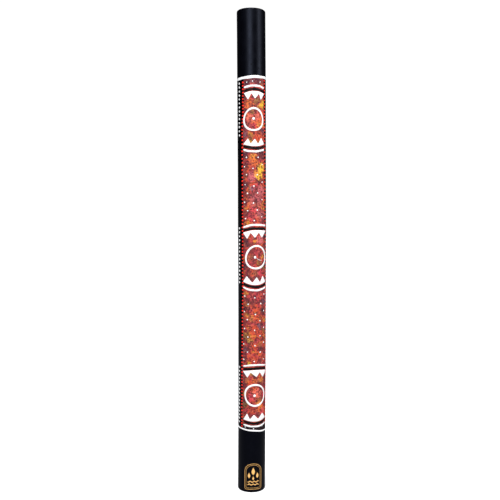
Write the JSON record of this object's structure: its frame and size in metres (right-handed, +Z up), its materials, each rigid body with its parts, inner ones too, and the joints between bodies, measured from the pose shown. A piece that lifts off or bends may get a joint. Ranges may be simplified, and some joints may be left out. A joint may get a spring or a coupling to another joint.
{
  "type": "rainstick",
  "caption": "Bamboo rainstick: a long painted tube with glued end plugs, an inner helix of pins and loose pebbles that trickle down when it is tipped over.",
  "frame": {"origin": "centre of the foot end, on the surface that the stick stands on", "axes": "+Z up along the stick; -Y is the front, with the middle of the painted panel about 11 degrees from it towards +X; +X is the side that the culm's slight natural bend leans to"},
  "size_m": [0.0598, 0.0582, 1],
  "materials": {
    "tube_lacquer": "satin black lacquer over bamboo",
    "plug_wood": "painted black outside, bare wood inside",
    "bamboo_pin": "bare split bamboo",
    "river_pebble": "matt water-worn stone, opaque"
  },
  "bodies": {
    "stick": {"tube": "tube_lacquer", "bottom_plug": "plug_wood", "top_plug": "plug_wood", "pin_01": "bamboo_pin", "pin_02": "bamboo_pin", "pin_03": "bamboo_pin", "pin_04": "bamboo_pin", "pin_05": "bamboo_pin", "pin_06": "bamboo_pin", "pin_07": "bamboo_pin", "pin_08": "bamboo_pin", "pin_09": "bamboo_pin", "pin_10": "bamboo_pin", "pin_11": "bamboo_pin", "pin_12": "bamboo_pin", "pin_13": "bamboo_pin", "pin_14": "bamboo_pin", "pin_15": "bamboo_pin", "pin_16": "bamboo_pin", "pin_17": "bamboo_pin", "pin_18": "bamboo_pin", "pin_19": "bamboo_pin", "pin_20": "bamboo_pin", "pin_21": "bamboo_pin", "pin_22": "bamboo_pin", "pin_23": "bamboo_pin", "pin_24": "bamboo_pin", "pin_25": "bamboo_pin", "pin_26": "bamboo_pin", "pin_27": "bamboo_pin", "pin_28": "bamboo_pin", "pin_29": "bamboo_pin", "pin_30": "bamboo_pin", "pin_31": "bamboo_pin", "pin_32": "bamboo_pin", "pin_33": "bamboo_pin"},
    "fill_01": {"pebble_01": "river_pebble", "pebble_02": "river_pebble"},
    "fill_02": {"pebble_03": "river_pebble", "pebble_04": "river_pebble"},
    "fill_03": {"pebble_05": "river_pebble", "pebble_06": "river_pebble"},
    "fill_04": {"pebble_07": "river_pebble", "pebble_08": "river_pebble"},
    "fill_05": {"pebble_09": "river_pebble", "pebble_10": "river_pebble"},
    "fill_06": {"pebble_11": "river_pebble", "pebble_12": "river_pebble"},
    "fill_07": {"pebble_13": "river_pebble", "pebble_14": "river_pebble"},
    "fill_08": {"pebble_15": "river_pebble", "pebble_16": "river_pebble"},
    "fill_09": {"pebble_17": "river_pebble", "pebble_18": "river_pebble"},
    "fill_10": {"pebble_19": "river_pebble", "pebble_20": "river_pebble"},
    "fill_11": {"pebble_21": "river_pebble", "pebble_22": "river_pebble"},
    "fill_12": {"pebble_23": "river_pebble", "pebble_24": "river_pebble"}
  },
  "joints": [
    {"name": "fill_fall_01", "type": "slide", "parent": "stick", "child": "fill_01", "axis": [0, 0, 1], "range_m": [0, 0.9575]},
    {"name": "fill_fall_02", "type": "slide", "parent": "stick", "child": "fill_02", "axis": [0, 0, 1], "range_m": [0, 0.9575]},
    {"name": "fill_fall_03", "type": "slide", "parent": "stick", "child": "fill_03", "axis": [0, 0, 1], "range_m": [0, 0.9575]},
    {"name": "fill_fall_04", "type": "slide", "parent": "stick", "child": "fill_04", "axis": [0, 0, 1], "range_m": [0, 0.9575]},
    {"name": "fill_fall_05", "type": "slide", "parent": "stick", "child": "fill_05", "axis": [0, 0, 1], "range_m": [0, 0.9575]},
    {"name": "fill_fall_06", "type": "slide", "parent": "stick", "child": "fill_06", "axis": [0, 0, 1], "range_m": [0, 0.9575]},
    {"name": "fill_fall_07", "type": "slide", "parent": "stick", "child": "fill_07", "axis": [0, 0, 1], "range_m": [0, 0.9575]},
    {"name": "fill_fall_08", "type": "slide", "parent": "stick", "child": "fill_08", "axis": [0, 0, 1], "range_m": [0, 0.9575]},
    {"name": "fill_fall_09", "type": "slide", "parent": "stick", "child": "fill_09", "axis": [0, 0, 1], "range_m": [0, 0.9575]},
    {"name": "fill_fall_10", "type": "slide", "parent": "stick", "child": "fill_10", "axis": [0, 0, 1], "range_m": [0, 0.9575]},
    {"name": "fill_fall_11", "type": "slide", "parent": "stick", "child": "fill_11", "axis": [0, 0, 1], "range_m": [0, 0.9575]},
    {"name": "fill_fall_12", "type": "slide", "parent": "stick", "child": "fill_12", "axis": [0, 0, 1], "range_m": [0, 0.9575]}
  ]
}
